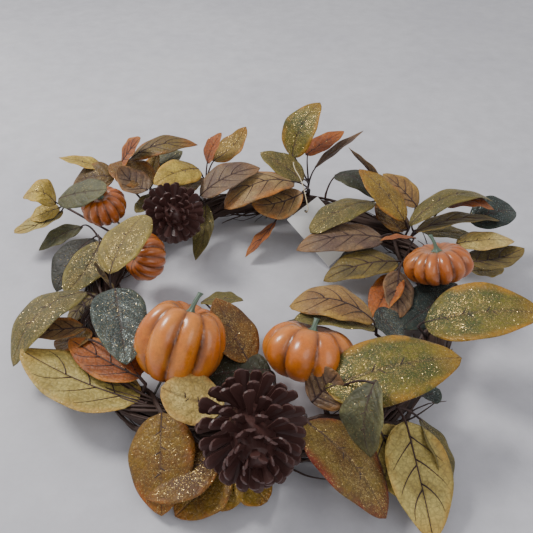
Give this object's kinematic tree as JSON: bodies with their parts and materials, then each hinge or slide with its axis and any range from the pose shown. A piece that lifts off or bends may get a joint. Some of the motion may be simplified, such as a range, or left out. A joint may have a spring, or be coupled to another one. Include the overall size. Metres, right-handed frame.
{
  "type": "harvest door wreath",
  "caption": "Autumn door wreath: a twisted vine ring with glittered fabric leaves, gourd-like pumpkins, cones, a tied paper tag and a wire hanging loop.",
  "frame": {"origin": "bottom centre of the bounding box of the wreath lying on a table, on the table's plane", "axes": "+X to the right and +Y towards the hanging loop as seen from the front of the wreath, +Z out of the wreath's front face"},
  "size_m": [0.609, 0.5158, 0.1393],
  "materials": {
    "vine_bark": "rough",
    "pumpkin_shell": "antiqued satin",
    "stalk_green": "satin",
    "cone_scale": "satin",
    "steel_wire": "satin",
    "card_white": "matte",
    "string_cream": "matte",
    "leaf_gold": "painted with glitter",
    "leaf_olive": "painted with glitter",
    "leaf_cream": "painted with glitter",
    "leaf_teal": "painted with glitter",
    "leaf_plum": "painted with glitter",
    "leaf_orange": "painted with glitter"
  },
  "bodies": {
    "ring": {"cone_back": "cone_scale", "cone_front": "cone_scale", "hanger_tie": "steel_wire", "pick_big_left": "steel_wire", "pick_big_right": "steel_wire", "pick_mini_back": "steel_wire", "pick_mini_left": "steel_wire", "pick_mini_right": "steel_wire", "pumpkin_big_left": "pumpkin_shell", "pumpkin_big_right": "pumpkin_shell", "pumpkin_mini_back": "pumpkin_shell", "pumpkin_mini_left": "pumpkin_shell", "pumpkin_mini_right": "pumpkin_shell", "sprig_back_gold": "leaf_gold", "sprig_back_grey": "leaf_teal", "sprig_back_orange": "leaf_orange", "sprig_back_wide": "leaf_plum", "sprig_front_cream": "leaf_cream", "sprig_front_green": "leaf_olive", "sprig_front_left": "leaf_gold", "sprig_front_red": "leaf_orange", "sprig_front_right": "leaf_olive", "sprig_front_small": "leaf_cream", "sprig_inner_dark": "leaf_teal", "sprig_inner_gold": "leaf_gold", "sprig_inner_pink": "leaf_plum", "sprig_left_long": "leaf_olive", "sprig_left_olive": "leaf_olive", "sprig_left_orange": "leaf_orange", "sprig_left_teal": "leaf_teal", "sprig_right_dark": "leaf_teal", "sprig_right_gold": "leaf_gold", "sprig_right_inner": "leaf_plum", "sprig_right_mini": "leaf_olive", "sprig_right_olive": "leaf_olive", "sprig_right_plum": "leaf_plum", "sprig_right_tag": "leaf_gold", "sprig_right_teal": "leaf_teal", "sprig_top_low": "leaf_plum", "sprig_top_right": "leaf_teal", "stalk_big_left": "stalk_green", "stalk_big_right": "stalk_green", "stalk_mini_back": "stalk_green", "stalk_mini_left": "stalk_green", "stalk_mini_right": "stalk_green", "tag_string": "string_cream", "vine_strand_1": "vine_bark", "vine_strand_2": "vine_bark", "vine_strand_3": "vine_bark", "vine_strand_4": "vine_bark", "vine_strand_5": "vine_bark", "vine_wrap": "vine_bark", "wire_cone_back": "steel_wire", "wire_cone_front": "steel_wire"},
    "hanger_loop": {"hanger_loop": "steel_wire"},
    "tag_card": {"tag_card": "card_white"},
    "sprig_right_large": {"sprig_right_large": "leaf_gold"},
    "sprig_left_cream": {"sprig_left_cream": "leaf_cream"},
    "sprig_top_tall": {"sprig_top_tall": "leaf_gold"},
    "sprig_left_far": {"sprig_left_far": "leaf_cream"}
  },
  "joints": [
    {"name": "hanger_flip", "type": "hinge", "parent": "ring", "child": "hanger_loop", "pos_m": [0.00116, 0.2096, 0.02189], "axis": [1, 0, 0], "range_deg": [-30, 35]},
    {"name": "tag_lift", "type": "hinge", "parent": "ring", "child": "tag_card", "pos_m": [0.05001, 0.1339, 0.04432], "axis": [-0.6157, -0.788, 0], "range_deg": [0, 40]},
    {"name": "right_large_bend", "type": "hinge", "parent": "ring", "child": "sprig_right_large", "pos_m": [0.15899, -0.06759, 0.03217], "axis": [0.4101, 0.912, 0], "range_deg": [0, 15]},
    {"name": "left_cream_bend", "type": "hinge", "parent": "ring", "child": "sprig_left_cream", "pos_m": [-0.17023, -0.02019, 0.03329], "axis": [0.1362, -0.9907, 0], "range_deg": [-15, 20]},
    {"name": "top_tall_bend", "type": "hinge", "parent": "ring", "child": "sprig_top_tall", "pos_m": [0.0547, 0.1879, 0.03366], "axis": [-0.9604, 0.2787, 0], "range_deg": [0, 25]},
    {"name": "left_far_bend", "type": "hinge", "parent": "ring", "child": "sprig_left_far", "pos_m": [-0.17386, 0.1028, 0.02452], "axis": [-0.4939, -0.8695, 0], "range_deg": [-12, 5]}
  ]
}
